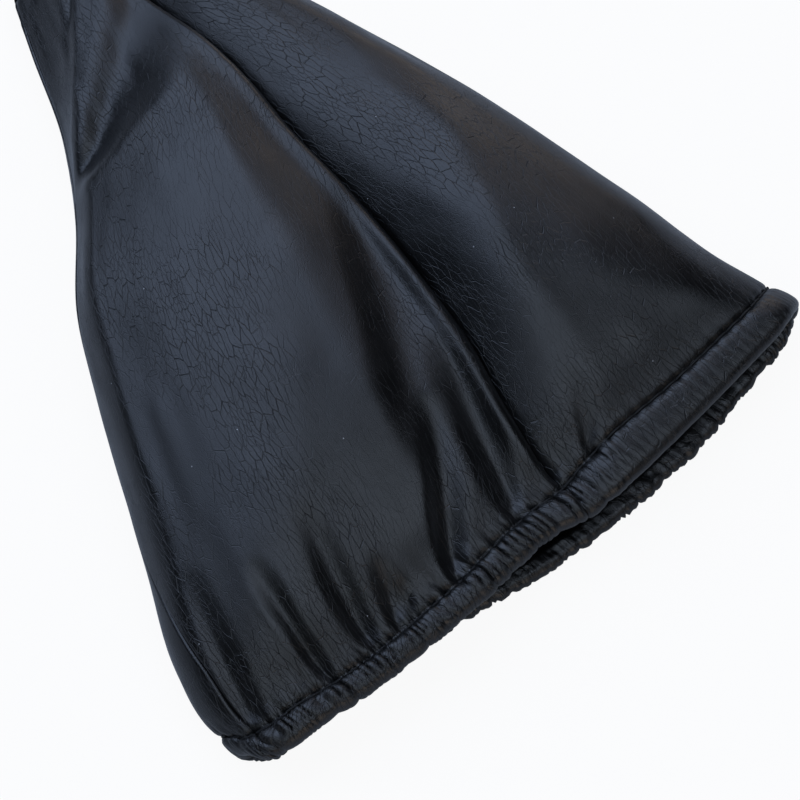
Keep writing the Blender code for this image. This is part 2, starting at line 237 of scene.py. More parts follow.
def through(knots, steps=6):
    """Points of a smooth curve through rows of numbers."""
    rows = np.array([knots[0], *knots, knots[-1]], float)
    t = (np.arange(steps) / steps)[:, None]
    curve = []
    for a, b, c, d in zip(rows, rows[1:], rows[2:], rows[3:]):
        curve.append(b + 0.5 * t * (c - a + t * (2 * a - 5 * b + 4 * c - d
                                                 + t * (3 * (b - c) + d - a))))
    return np.concatenate([*curve, rows[-1:]])


FOLD_LINES = [(sharp, through(knots)) for sharp, knots in FOLDS.values()]


def fold_drops(x, y):
    """How deep all the folds press the surface at the points (x, y)."""
    x, y = np.broadcast_arrays(x, y)
    drop = np.zeros(x.shape)
    for sharp, line in FOLD_LINES:
        widest = line[:, 3:].max()
        low, high = line[:, :2].min(0) - widest, line[:, :2].max(0) + widest
        near = (x > low[0]) & (x < high[0]) & (y > low[1]) & (y < high[1])
        if not near.any():
            continue
        px, py = x[near][:, None], y[near][:, None]
        start, step = line[:-1], np.diff(line, axis=0)
        run = step[:, 0] ** 2 + step[:, 1] ** 2
        t = np.clip(((px - start[:, 0]) * step[:, 0] + (py - start[:, 1]) * step[:, 1]) / run,
                    0, 1)
        dx, dy = px - start[:, 0] - t * step[:, 0], py - start[:, 1] - t * step[:, 1]
        away = np.hypot(dx, dy)
        best = away.argmin(axis=1)
        rows = np.arange(len(best))
        t, away = t[rows, best], away[rows, best]
        on_left = step[best, 0] * dy[rows, best] - step[best, 1] * dx[rows, best] > 0
        value = start[best] + t[:, None] * step[best]
        share = np.clip(1 - away / np.where(on_left, value[:, 3], value[:, 4]), 0, 1)
        soft = share * share * (3 - 2 * share)
        drop[near] += value[:, 2] * (soft + sharp * (share ** 2 - soft))
    return drop


def valley_drop(along, away):
    """The valley at the middle seam; away is the distance to the right of the seam."""
    left = np.clip(1 + away / VALLEY_LEFT(along), 0, 1)
    right = np.clip(1 - away / VALLEY_RIGHT(along), 0, 1)
    deep, ledge = VALLEY(along), LEFT_DROP(along)
    wall = (deep - ledge) * np.exp(-np.minimum(away, 0) ** 2)
    slope = ledge * (0.3 * left ** 1.4 + 0.7 * left * left * (3 - 2 * left))
    from_roll = (away - ROLL_AT) / np.where(away < ROLL_AT, ROLL_LEFT, ROLL_RIGHT)
    roll = ROLL(along) * np.exp(-from_roll ** 2)
    hollow = 1.7 - 0.4 * smooth(0.5, 0.66, along)       # less hollow near the neck
    return np.where(away < 0, slope + wall, deep * right ** hollow) - roll


def side_rise(reach, slope, roll):
    """Height share of the upper side at a distance in from its outline: a tight roll over
    the first few millimetres and a long slope after it."""
    t = np.clip(reach / slope, 0, 1)
    return ROUND_SHARE * shoulder(reach / roll) + (1 - ROUND_SHARE) * np.sin(np.pi / 2 * t)


def surface(along, turn, folded=True):
    """Middle of the covering round one cross section."""
    turn = np.mod(turn, 2.0)
    upper = turn <= 1.0
    across = 0.5 - 0.5 * np.cos(np.pi * turn)
    left = LEFT_X(along)
    width = RIGHT_X(along) - left
    x = left + across * width
    bow = np.where(upper, TOP_BOW(across), UNDER_BOW(across)) * (1 - along)
    y = HEM_Y + LENGTH * along - bow + NECK_BOW * along * 4 * across * (1 - across)
    edge = EDGE_Z(along)
    from_left, from_right = across * width, (1 - across) * width
    facet, slope = LEFT_FACET(along), SHOULDER(along)
    round_left = side_rise(from_left, slope, LEFT_ROLL)
    flat_left = side_rise(facet, slope, LEFT_ROLL) * from_left / facet
    soft = FACET_EDGE * np.minimum(facet / 8, 1)
    corner = np.sqrt((round_left - flat_left) ** 2 + soft ** 2)
    round_left = np.maximum((round_left + flat_left - corner) / 2, 0)
    rounding = round_left * side_rise(from_right, RIGHT_SLOPE * slope, RIGHT_ROLL)
    top = edge + (CREST_Z(along) - edge) * rounding
    if folded:
        drop = valley_drop(along, x - left - MIDDLE_SEAM(along) * width)
        drop = drop + np.where(upper, fold_drops(x, y) * smooth(0.2, 5.0, from_left), 0)
        top = top - (drop * shoulder(from_left / OUTLINE_FADE)
                     * shoulder(from_right / OUTLINE_FADE))
    under = UNDER_SHOULDER(along)
    lift = 1 - shoulder(from_left / under) * shoulder(from_right / under)
    bottom = SKIN / 2 + (edge - SKIN / 2) * lift
    return np.stack(np.broadcast_arrays(x, y, np.where(upper, top, bottom)), -1)


def hem_place(from_edge, turn):
    """Share along of a point at a pattern distance from the fold, with the hem drawn in."""
    turn = np.mod(turn, 2.0)
    across = 0.5 - 0.5 * np.cos(np.pi * turn)
    drawn = STITCH_FROM_EDGE - np.where(turn <= 1.0, HEM_WIDTH(across), UNDER_HEM_WIDTH(across))
    share = np.where(from_edge < STITCH_FROM_EDGE, np.maximum(from_edge, 0) / STITCH_FROM_EDGE,
                     np.exp(-(from_edge - STITCH_FROM_EDGE) / 18))
    return (from_edge - drawn * share) / LENGTH


def seam_turns(along):
    """Where the four seams cross this section, and the first one again a lap later."""
    def upper(share):
        return np.arccos(1 - 2 * share) / np.pi
    first = LEFT_SEAM(along)
    return [first, upper(MIDDLE_SEAM(along)), 2 - upper(RIGHT_SEAM(along)),
            2 - upper(UNDER_SEAM(along)), first + 2]


def seam_frames(along, turn):
    """A seam's point on each section, its inward direction and the direction across it."""
    close = surface(along[:, None], turn[:, None] + np.linspace(-0.006, 0.006, 5))
    before = close[:, 2] - close[:, 0]
    after = close[:, 4] - close[:, 2]
    chord = (before / np.linalg.norm(before, axis=1, keepdims=True)
             + after / np.linalg.norm(after, axis=1, keepdims=True))
    level = np.zeros(len(along))
    size = np.hypot(chord[:, 0], chord[:, 2])
    over = np.stack([chord[:, 0] / size, level, chord[:, 2] / size], -1)
    return close[:, 2], np.stack([over[:, 2], level, -over[:, 0]], -1), over


def walked_along(points):
    """Distance from the first of each row of points, along the row."""
    steps = np.linalg.norm(np.diff(points, axis=-2), axis=-1)
    return np.concatenate([np.zeros((*steps.shape[:-1], 1)), np.cumsum(steps, axis=-1)], -1)


# Distances of a panel's first columns from its edge
NEAR_SEAM = np.array([0, 0.07, 0.2, 0.45, 0.8, 1.25, 1.8, 2.5, 3.3])


def lay_columns(along, start, end, frames, clear, columns):
    """A panel's columns on each section: their turns, their distances from the two seams
    and their distance across the pattern. They lie closer where the section bends."""
    share = np.linspace(0, 1, SECTION_SAMPLES)
    turns = start[:, None] + (end - start)[:, None] * share
    fine = surface(along[:, None], turns)
    walk = walked_along(fine)
    plain = np.diff(surface(along[:, None], turns, folded=False), axis=1)
    bend = np.unwrap(np.arctan2(plain[..., 2], plain[..., 0]), axis=1)
    pace = walk.copy()
    pace[:, 2:] += BEND_PACE * np.cumsum(np.abs(np.diff(bend, axis=1)), axis=1)
    laid = []
    for k in range(len(along)):
        ends = []
        for (here, _, over), near, sign in zip(
                frames, (slice(0, SEAM_SAMPLES), slice(-SEAM_SAMPLES, None)), (1, -1)):
            reach = (fine[k, near] - here[k]) @ over[k]
            ends.append(np.interp(sign * clear[k], reach, walk[k, near]))
        first = np.interp(ends[0] + NEAR_SEAM, walk[k], pace[k])
        last = np.interp(ends[1] - NEAR_SEAM, walk[k], pace[k])
        middle = np.linspace(first[-1], last[-1], columns + 3 - 2 * len(NEAR_SEAM))
        stops = np.concatenate([first[:-1], middle, last[:-1][::-1]])
        walked = np.interp(stops, pace[k], walk[k])
        laid.append((np.interp(stops, pace[k], turns[k]), walked - ends[0], ends[1] - walked,
                     walked - (ends[0] + ends[1]) / 2))
    return [np.array(v) for v in zip(*laid)]


# Distance round the hem, measured once along the row of stitches
ROUND_TURNS = np.linspace(0, 3, 3001)
ROUND_HEM = walked_along(surface(STITCH_FROM_EDGE / LENGTH, ROUND_TURNS))
FIRST_SEAM = float(seam_turns(STITCH_FROM_EDGE / LENGTH)[0])


def round_hem(turn):
    """Distance round the hem from the left seam to a turn."""
    return (np.interp(turn, ROUND_TURNS, ROUND_HEM)
            - np.interp(FIRST_SEAM, ROUND_TURNS, ROUND_HEM))


HEM_ROUND = float(round_hem(FIRST_SEAM + 2))
STITCHES = round(HEM_ROUND / STITCH_PITCH)
STITCH_STEP = HEM_ROUND / STITCHES


def gathers(turn, path):
    """Height of the small gathers that the elastic draws into the hem; path is the
    distance from the fold along the covering, below 0 on the turned-in layer."""
    s = round_hem(turn)
    lap = np.mod(turn, 2.0)
    taut = np.where(lap < 1.0, 1 - 0.72 * smooth(0.57, 0.62, lap), 0.85)
    loose = np.where(lap < 1.0, 1.0, 1.9)
    far = np.maximum(path - STITCH_FROM_EDGE, 0)
    fine_at = s / FINE_PITCH + 1.2 * noise(12, s / 7) + 0.28 * noise(13, s / 5, path / 6)
    fine = np.abs(np.sin(np.pi * fine_at)) ** 0.55 - 0.68
    fine = fine * (0.75 + 0.7 * noise(14, fine_at * 0.73, path / 6)) * np.exp(-far / 1.2)
    fine = fine * np.where(lap < 1.0, 0.3 + 0.7 * smooth(-1, 5, path), 1.0)
    stitch_at = s / STITCH_STEP
    puff = np.abs(np.sin(np.pi * (stitch_at + 0.12 * noise(15, s / 7)))) ** 0.8 - 0.55
    near_stitch = np.exp(-((path - STITCH_FROM_EDGE) / 3.6) ** 2)
    puff = puff * (0.7 + 0.4 * noise(16, stitch_at)) * near_stitch
    broad_at = s / BROAD_PITCH + 0.9 * noise(17, s / 21) + 0.5 * noise(11, s / 14, path / 20)
    broad = np.abs(np.sin(np.pi * broad_at)) - 0.6
    broad = broad * (0.7 + 0.6 * noise(18, broad_at)) * np.exp(-far / 11)
    return taut * (1.15 * fine + 0.8 * puff + 0.6 * loose * broad)


def neck_ripple(turn, path):
    """Small unevenness of the neck's turning."""
    return 0.10 * noise(41, round_hem(turn) / 4.5, path / 9)


def outside_height(turn, path, to_left, to_right):
    """How far the outer face stands out from the smooth covering."""
    along = np.maximum(path, 0) / LENGTH
    groove = np.exp(-(path - STITCH_FROM_EDGE) ** 2)
    hole = np.cos(2 * np.pi * round_hem(turn) / STITCH_STEP)
    swell = np.sin(np.pi * np.clip((path + 3) / (STITCH_FROM_EDGE + 3), 0, 1)) ** 0.8
    above = smooth(1.0, 5.0, surface(along, turn)[..., 2])
    above = np.where(path < 0, 1.0, above)
    near_seam = np.exp(-(np.minimum(to_left, to_right) / 3.0) ** 2)
    in_hem = 1 - smooth(10, 15, path)
    soft = 0.30 * noise(31, turn * 16, along * 9) + 0.14 * noise(32, turn * 34, along * 19)
    body = smooth(10, 24, path) * (1 - smooth(NECK_FROM, 0.98, along))
    height = HEM_FULLNESS * swell - STITCH_GROOVE * groove * (1 + 0.22 * hole)
    height = height + gathers(turn, path) + 0.35 * near_seam * in_hem * (1 - groove)
    height = np.where(path < -3, np.maximum(height, -0.6), height)
    return above * height + (above * 0.8 + 0.2) * soft * body


def hem_rows():
    """Rows from the hem's turned-in end to the outside, as (distance from the fold,
    depth, outward direction in those two, distance from the fold along the covering)."""
    radius = TUBE_LAYERS / 2
    around = math.pi * radius
    rows = [(m, TUBE_LAYERS - 0.5 * smooth(8.5, 10.0, m), 0.0, 1.0, 2 * radius - around - m)
            for m in np.linspace(TURNED_IN, 2.6, 12)]
    for angle in np.linspace(90, -90, 13):
        c, s = math.cos(math.radians(angle)), math.sin(math.radians(angle))
        rows.append((radius * (1 - c), radius * (1 + s), -c, s,
                     radius - around * (angle + 90) / 180))
    rows += [(m, 0.0, 0.0, -1.0, m) for m in np.arange(2.4, HEM_ZONE, 0.6)]
    return rows


def body_rows():
    """Rows from the hem to the neck, in the same way."""
    stops = np.arange(HEM_ZONE + 0.8, LENGTH - 15, 1.55)
    return [(float(m), 0.0, 0.0, -1.0, float(m)) for m in stops]


def neck_rows():
    """Rows from the body round the neck's turning, in the same way."""
    rows = [(LENGTH - m, math.exp(-((m - NECK_STITCH) / 1.1) ** 2), 0.0, -1.0, LENGTH - m)
            for m in np.arange(14.6, 1.6, -0.85)]
    radius = NECK_LAYERS / 2
    for angle in np.linspace(-90, 90, 9):
        c, s = math.cos(math.radians(angle)), math.sin(math.radians(angle))
        rows.append((LENGTH - radius * (1 - c), radius * (1 + s), c, s, LENGTH - radius))
    rows += [(LENGTH - m, NECK_LAYERS, 0.0, 1.0, LENGTH) for m in
             np.linspace(2.4, NECK_TURNED_IN, 7)]
    return rows


def inward(along, turn):
    """Direction into the gaiter at points of a section, level with the ground's plane."""
    run = surface(along, turn + 1e-3) - surface(along, turn - 1e-3)
    side = np.stack([run[..., 2], np.zeros(run.shape[:-1]), -run[..., 0]], -1)
    return side / np.linalg.norm(side, axis=-1, keepdims=True)


def between(values):
    """The columns with their midpoints between them."""
    doubled = np.empty((len(values), 2 * values.shape[1] - 1))
    doubled[:, 0::2] = values
    doubled[:, 1::2] = (values[:, 1:] + values[:, :-1]) / 2
    return doubled


def skin_zone(seam, columns, rows, fine):
    """Points of some rows of a panel, their distance across the pattern, and the points
    of the seam allowances that hang from both ends of each row."""
    from_edge, depth, out_along, out_depth, path = (v[:, None] for v in np.array(rows).T)
    along = from_edge[:, 0] / LENGTH
    turns = seam_turns(along)
    frames = [seam_frames(along, turns[k]) for k in (seam, seam + 1)]
    rolled = smooth(9.5, 14.5, path) * (
        1 - smooth(ALLOWANCE_TO * LENGTH, NECK_FROM * LENGTH, path))
    clear = (BUTT_GAP + rolled * ((SKIN + GAP) / 2 - BUTT_GAP))[:, 0]
    laid = lay_columns(along, turns[seam], turns[seam + 1], frames, clear, columns)
    stops, to_left, to_right, across = (between(v) if fine else v for v in laid)
    height = outside_height(stops, path, to_left, to_right)
    height = np.where(path > NECK_FROM * LENGTH, neck_ripple(stops, path), height)
    # underneath, the turned-in layer comes down to the outer one at the stitches
    under = 1 - smooth(1.0, 5.0, surface(along[:, None], stops)[..., 2])
    sink = np.where(path < 0, 1.9 * under * smooth(6.0, 9.3, from_edge), 0.0)
    for away, side in ((to_left, 0), (to_right, 1)):
        stand, radius = 0.0, EDGE_ROLL.get((seam, side), SEAM_ROLL)
        if side == 1 and seam == 0:
            # the wide panel's edge stands over the middle seam, with a rib across the hem
            stand = np.interp(path, STAND_OVER[0], STAND_OVER[1])
            height = height + stand * np.exp(-(away / 5.5) ** 2)
            rib = np.exp(-((away - 2.0) / 1.3) ** 2) - 0.6 * np.exp(-((away - 4.6) / 0.8) ** 2)
            height = height + 0.6 * rib * (1 - smooth(9, 12, path)) * smooth(0, 4, path)
        height = height - rolled * (radius + stand) * (1 - shoulder(away / radius))
        height = height - (1 - rolled) * 0.3 * np.exp(-(away / 0.5) ** 2)
    place = hem_place(from_edge + height * out_along, stops)
    inside = inward(place, stops)
    for (_, into, _), away in zip(frames, (to_left, to_right)):
        share = np.exp(-(away / 2.2) ** 2)[..., None]
        inside = inside * (1 - share) + into[:, None] * share
    inside /= np.linalg.norm(inside, axis=-1, keepdims=True)
    points = surface(place, stops) + inside * (depth - sink + height * out_depth)[..., None]
    tips = [[points[:, end] + into * d for d in FLANGE]
            for (_, into, _), end in zip(frames, (0, -1))]
    return points, across, tips


def add(name, data):
    """A new object in the scene."""
    obj = bpy.data.objects.new(name, data)
    bpy.context.scene.collection.objects.link(obj)
    return obj


def smooth_mesh(name, points, faces):
    """A smoothly shaded mesh from points in millimetres."""
    mesh = bpy.data.meshes.new(name)
    mesh.from_pydata((points * MM).tolist(), [], faces)
    mesh.polygons.foreach_set("use_smooth", [True] * len(mesh.polygons))
    return mesh


def closed_sheet(name, points, faces, pattern, marks):
    """A mesh with the skin's thickness round a middle surface, both sides and its edges."""
    points = np.array(points)
    count = len(points)
    normals = np.zeros((count, 3))
    for corners in (4, 5):
        same = np.array([f for f in faces if len(f) == corners])
        if len(same):
            turned = np.cross(points[same[:, 2]] - points[same[:, 0]],
                              points[same[:, -1]] - points[same[:, 1]])
            for k in range(corners):
                np.add.at(normals, same[:, k], turned)
    normals /= np.maximum(np.linalg.norm(normals, axis=1, keepdims=True), 1e-12)
    both = np.concatenate([points + normals * SKIN / 2, points - normals * SKIN / 2])
    all_faces = [tuple(f) for f in faces] + [tuple(v + count for v in f[::-1]) for f in faces]
    edges = {}
    for face in faces:
        for a, b in zip(face, face[1:] + face[:1]):
            if (b, a) in edges:
                del edges[(b, a)]
            else:
                edges[(a, b)] = True
    all_faces += [(b, a, a + count, b + count) for a, b in edges]
    mesh = smooth_mesh(name, both, all_faces)
    layer = mesh.uv_layers.new(name="pattern")
    corners = np.zeros(len(mesh.loops), np.int32)
    mesh.loops.foreach_get("vertex_index", corners)
    layer.data.foreach_set("uv", (np.array(pattern) * MM)[corners % count].ravel())
    for key, values in marks.items():
        attribute = mesh.attributes.new(key, "FLOAT", "POINT")
        attribute.data.foreach_set("value", np.concatenate([values, values]))
    backing = mesh.attributes.new("backing", "FLOAT", "POINT")
    backing.data.foreach_set("value", [0.0] * count + [1.0] * count)
    mesh.update()
    return add(name, mesh)


def panel(node, seam):
    """One sewn panel: its turned hem, its body with seam allowances, and its neck."""
    columns = COLUMNS[node]
    points, faces, pattern, marks = [], [], [], []
    below = flange_below = row_below = None
    walked = 0.0
    for rows, fine in ((hem_rows(), True), (body_rows() + neck_rows(), False)):
        placed, across, tips = skin_zone(seam, columns, rows, fine)
        for k, row in enumerate(rows):
            if row_below is not None:
                walked += math.hypot(row[0] - row_below[0], row[1] - row_below[1])
            row_below = row
            here = list(range(len(points), len(points) + placed.shape[1]))
            points.extend(placed[k])
            pattern.extend((a, walked) for a in across[k])
            near_hem = (float(1 - smooth(8.0, 10.0, row[4])) * PUCKERS.get(node, 1.0) * 0.5
                        + math.exp(-((row[4] - STITCH_FROM_EDGE) / 1.9) ** 2))
            marks.extend([near_hem] * len(here))
            if below is not None and len(below) == len(here):
                faces += [(below[i], below[i + 1], here[i + 1], here[i])
                          for i in range(len(here) - 1)]
            elif below is not None:
                faces += [(below[2 * i], below[2 * i + 1], below[2 * i + 2], here[i + 1], here[i])
                          for i in range(len(here) - 1)]
            below = here
            flange = None
            if not fine and ALLOWANCE_FROM <= row[0] / LENGTH <= ALLOWANCE_TO:
                flange = []
                for end, side in ((0, -1), (-1, 1)):
                    line = [here[end]]
                    for tip, distance in zip(tips[end], FLANGE):
                        line.append(len(points))
                        points.append(tip[k])
                        pattern.append((across[k][end] + side * distance, walked))
                        marks.append(near_hem)
                    flange.append(line)
                if flange_below is not None:
                    for end in (0, 1):
                        low, high = flange_below[end], flange[end]
                        for i in range(len(FLANGE)):
                            quad = (low[i], low[i + 1], high[i + 1], high[i])
                            faces.append(quad if end else quad[::-1])
            flange_below = flange
    return closed_sheet(node + "_cloth", points, faces, pattern, {"near_hem": np.array(marks)})


# ---------------------------------------------------------------- shader building

class Wire:
    """A shader socket that Python's arithmetic works on."""

    def __init__(self, finish, socket):
        self.finish, self.socket = finish, socket

    def _math(self, operation, *values):
        return self.finish.make("ShaderNodeMath", {"operation": operation},
                                dict(enumerate(values)))

    def __add__(self, other):
        return self._math("ADD", self, other)

    def __sub__(self, other):
        return self._math("SUBTRACT", self, other)

    def __rsub__(self, other):
        return self._math("SUBTRACT", other, self)

    def __mul__(self, other):
        return self._math("MULTIPLY", self, other)

    def __pow__(self, other):
        return self._math("POWER", self, other)

    def above(self, other):
        """1 where this is greater, else 0."""
        return self._math("GREATER_THAN", self, other)

    def less(self, other):
        """1 where this is smaller, else 0."""
        return self._math("LESS_THAN", self, other)

    def step(self, low, high):
        """0 below low, 1 above high, smooth between."""
        return self.finish.make("ShaderNodeMapRange", {"interpolation_type": "SMOOTHSTEP"},
                                {0: self, 1: low, 2: high})

    __radd__ = __add__
    __rmul__ = __mul__


class Finish:
    """One material being built."""

    def __init__(self, name, colour, roughness):
        self.material = bpy.data.materials.new(name)
        self.material.use_nodes = True
        self.tree = self.material.node_tree
        self.shader = self.tree.nodes["Principled BSDF"]
        self.material.diffuse_color = (*colour, 1.0)
        self.put(self.shader, "Base Color", (*colour, 1.0))
        self.put(self.shader, "Roughness", roughness)

    def put(self, node, key, value):
        """Sets a node's input to a value, or links a wire to it."""
        socket = node.inputs[key]
        if isinstance(value, Wire):
            self.tree.links.new(value.socket, socket)
        else:
            socket.default_value = value

    def make(self, kind, settings=None, values=None, output=0):
        """A new node with its settings and inputs; gives back one of its outputs."""
        node = self.tree.nodes.new(kind)
        for key, value in (settings or {}).items():
            setattr(node, key, value)
        for key, value in (values or {}).items():
            self.put(node, key, value)
        return Wire(self, node.outputs[output])

    def attribute(self, name):
        """A number stored on the mesh."""
        return self.make("ShaderNodeAttribute", {"attribute_name": name}, None, "Fac")

    def blend(self, share, first, second):
        """A colour between two."""
        return self.make("ShaderNodeMix", {"data_type": "RGBA"}, {0: share, 6: first, 7: second},
                         2)

    def mottle(self, vector, scale, detail, output=0):
        """Flat noise over the pattern's coordinates."""
        return self.make("ShaderNodeTexNoise", {"noise_dimensions": "2D"},
                         {"Vector": vector, "Scale": scale, "Detail": detail}, output)

    def bump(self, height, distance, strength):
        """The surface's direction with fine relief added."""
        return self.make("ShaderNodeBump", None,
                         {"Height": height, "Distance": distance, "Strength": strength})


def leathercloth():
    """Black leathercloth: creased grain on its face and knitted backing behind it."""
    finish = Finish("leathercloth_black", (0.016, 0.016, 0.017), 0.42)
    uv = finish.make("ShaderNodeUVMap", {"uv_map": "pattern"})
    backing = finish.attribute("backing")
    drift = finish.mottle(uv, 240.0, 2.0, 1)
    drift = finish.make("ShaderNodeVectorMath", {"operation": "SCALE"},
                        {0: drift, "Scale": 0.0011})
    bent = finish.make("ShaderNodeVectorMath", {"operation": "ADD"}, {0: uv, 1: drift})

    def turned(angle, across, up):
        """The pattern's coordinates, turned by an angle and stretched."""
        return finish.make("ShaderNodeMapping", None,
                           {"Vector": bent, "Rotation": (0, 0, math.radians(angle)),
                            "Scale": (across, up, 1.0)})

    def network(angle, stretch, scale, width):
        """Thin lines round cells that are long up the panel; 1 on a line."""
        cells = finish.make("ShaderNodeTexVoronoi",
                            {"voronoi_dimensions": "2D", "feature": "DISTANCE_TO_EDGE"},
                            {"Vector": turned(angle, 1.0, stretch), "Scale": scale})
        return 1 - cells.step(0.0, width)

    def spread(scale, low, high):
        """Soft patches from 0 to 1."""
        return finish.mottle(uv, scale, 3.0).step(low, high)

    worked = spread(26.0, 0.34, 0.62) * 0.75 + 0.25
    broken = spread(130.0, 0.34, 0.58) * 0.75 + 0.25
    long_lines = network(6, 0.30, 600.0, 0.046) * broken
    cross_lines = network(-12, 0.36, 1000.0, 0.07) * (1.3 - broken)
    pebbles = 1 - network(0, 0.8, 2300.0, 0.3)
    grain = finish.mottle(uv, 3600.0, 2.0)
    patches = spread(60.0, 0.3, 0.7)
    # pinched wrinkles across the gathered hem
    pinch = finish.mottle(turned(4, 1.0, 0.13), 330.0, 0.5)
    pinch = (1 - ((pinch - 0.5) ** 2 * 1800.0).step(0.0, 1.0)) * finish.attribute("near_hem")
    creases = (long_lines + cross_lines * 0.6) * worked + pinch * 2.0
    height = pebbles * 0.14 + grain * 0.12 - creases
    knit = finish.make("ShaderNodeTexWave", {"wave_type": "BANDS", "bands_direction": "X"},
                       {"Vector": uv, "Scale": 260.0, "Distortion": 2.0, "Detail": 1.0})
    face = 1 - backing
    height = height * face + knit * backing * 1.5
    finish.put(finish.shader, "Normal", finish.bump(height, 0.00015, 0.7))
    # colour: the patches are the cloth's own tone; darker in the grain's creases and the hem's
    # pinched wrinkles is painted shade, and lighter on the raised pebbles is painted highlight
    tone_and_painted_shade = patches * 0.6 + pebbles * 0.3 - creases * 0.25
    colour = finish.blend(tone_and_painted_shade, (0.0018, 0.0018, 0.0019, 1), (0.0042, 0.0041, 0.0042, 1))
    # a few specks of dust
    dust = {"Vector": uv, "Scale": 62.0}
    near = finish.make("ShaderNodeTexVoronoi", {"voronoi_dimensions": "2D"}, dust, "Distance")
    picked = finish.make("ShaderNodeTexVoronoi", {"voronoi_dimensions": "2D"}, dust, "Color")
    speck = near.less(0.009) * (picked * 1.0).above(0.72) * face
    colour = finish.blend(speck, colour, (0.30, 0.30, 0.31, 1))
    colour = finish.blend(backing, colour, (0.014, 0.014, 0.015, 1))
    finish.put(finish.shader, "Base Color", colour)
    rough = 0.29 + patches * 0.08 + creases * 0.08
    finish.put(finish.shader, "Roughness", rough + backing * 0.4)
    return finish.material


def sewing_thread():
    """Black twisted thread."""
    finish = Finish("sewing_thread_black", (0.012, 0.012, 0.012), 0.5)
    uv = finish.make("ShaderNodeTexCoord", None, None, "Object")
    twist = finish.make("ShaderNodeTexWave", {"wave_type": "BANDS", "bands_direction": "DIAGONAL"},
                        {"Vector": uv, "Scale": 1100.0, "Distortion": 0.4})
    fibre = finish.make("ShaderNodeTexNoise", None, {"Vector": uv, "Scale": 5200.0, "Detail": 2.0})
    height = twist + fibre * 0.4
    finish.put(finish.shader, "Normal", finish.bump(height, 0.00008, 0.7))
    finish.put(finish.shader, "Base Color",
               finish.blend(fibre, (0.003, 0.003, 0.003, 1), (0.010, 0.0095, 0.009, 1)))
    finish.put(finish.shader, "Specular IOR Level", 0.25)
    finish.put(finish.shader, "Roughness", 0.5 + fibre * 0.2)
    return finish.material


def elastic_webbing():
    """Pale woven elastic with ribs across it."""
    finish = Finish("elastic_webbing_pale", (0.62, 0.60, 0.56), 0.8)
    at = finish.make("ShaderNodeTexCoord", None, None, "Object")
    ribs = finish.make("ShaderNodeTexWave", {"wave_type": "BANDS", "bands_direction": "X"},
                       {"Vector": at, "Scale": 420.0, "Distortion": 0.6, "Detail": 1.0})
    yarn = finish.make("ShaderNodeTexNoise", None, {"Vector": at, "Scale": 2600.0, "Detail": 3.0})
    finish.put(finish.shader, "Normal", finish.bump(ribs + yarn * 0.6, 0.0002, 0.8))
    # colour: darker in the grooves between the ribs is painted shade; the yarn's mottle is the
    # webbing's own tone
    tone_and_painted_shade = ribs * 0.6 + yarn * 0.4
    finish.put(finish.shader, "Base Color",
               finish.blend(tone_and_painted_shade, (0.46, 0.44, 0.40, 1), (0.70, 0.68, 0.64, 1)))
    finish.put(finish.shader, "Roughness", 0.75 + yarn * 0.2)
    return finish.material


# ---------------------------------------------------------------- stitches

def stitch_tree():
    """Lays short bent threads end to end along a path, each between two needle holes."""
    tree = bpy.data.node_groups.new("row_of_stitches", "GeometryNodeTree")
    face = tree.interface
    face.new_socket("Path", in_out="INPUT", socket_type="NodeSocketGeometry")
    for name, kind, value in (("Stitches", "NodeSocketInt", 10),
                              ("Stitch Length", "NodeSocketFloat", 0.004),
                              ("Thread Radius", "NodeSocketFloat", 0.0003),
                              ("Dip", "NodeSocketFloat", 0.0006)):
        face.new_socket(name, in_out="INPUT", socket_type=kind).default_value = value
    face.new_socket("Thread", in_out="INPUT", socket_type="NodeSocketMaterial")
    face.new_socket("Stitching", in_out="OUTPUT", socket_type="NodeSocketGeometry")
    given = tree.nodes.new("NodeGroupInput")
    result = tree.nodes.new("NodeGroupOutput")

    def node(kind, settings=None, **links):
        made = tree.nodes.new(kind)
        for key, value in (settings or {}).items():
            setattr(made, key, value)
        for key, value in links.items():
            socket = made.inputs[key.replace("_", " ")]
            if isinstance(value, bpy.types.NodeSocket):
                tree.links.new(value, socket)
            else:
                socket.default_value = value
        return made

    def times(socket, factor):
        made = node("ShaderNodeMath", {"operation": "MULTIPLY"})
        tree.links.new(socket, made.inputs[0])
        made.inputs[1].default_value = factor
        return made.outputs[0]

    curve = node("GeometryNodeMeshToCurve", Mesh=given.outputs["Path"])
    even = node("GeometryNodeResampleCurve", Curve=curve.outputs[0],
                Count=given.outputs["Stitches"])
    outward = node("GeometryNodeInputNamedAttribute", {"data_type": "FLOAT_VECTOR"},
                   Name="outward")
    tangent = node("GeometryNodeInputTangent")
    facing = node("FunctionNodeAxesToRotation", {"primary_axis": "X", "secondary_axis": "Z"},
                  Primary_Axis=tangent.outputs[0], Secondary_Axis=outward.outputs[0])
    half = times(given.outputs["Stitch Length"], 0.5)
    down = times(given.outputs["Dip"], -1.0)
    start = node("ShaderNodeCombineXYZ", X=times(half, -1.0), Z=down)
    end = node("ShaderNodeCombineXYZ", X=half, Z=down)
    crown = node("ShaderNodeCombineXYZ", Z=given.outputs["Dip"])
    bow = node("GeometryNodeCurveQuadraticBezier", Resolution=9, Start=start.outputs[0],
               Middle=crown.outputs[0], End=end.outputs[0])
    ring = node("GeometryNodeCurvePrimitiveCircle", Resolution=8,
                Radius=given.outputs["Thread Radius"])
    thread = node("GeometryNodeCurveToMesh", Curve=bow.outputs[0], Profile_Curve=ring.outputs[0],
                  Fill_Caps=True)
    placed = node("GeometryNodeInstanceOnPoints", Points=even.outputs[0],
                  Instance=thread.outputs[0], Rotation=facing.outputs[0])
    real = node("GeometryNodeRealizeInstances", Geometry=placed.outputs[0])
    shaded = node("GeometryNodeSetShadeSmooth", Geometry=real.outputs[0])
    finished = node("GeometryNodeSetMaterial", Geometry=shaded.outputs[0],
                    Material=given.outputs["Thread"])
    tree.links.new(finished.outputs[0], result.inputs[0])
    return tree


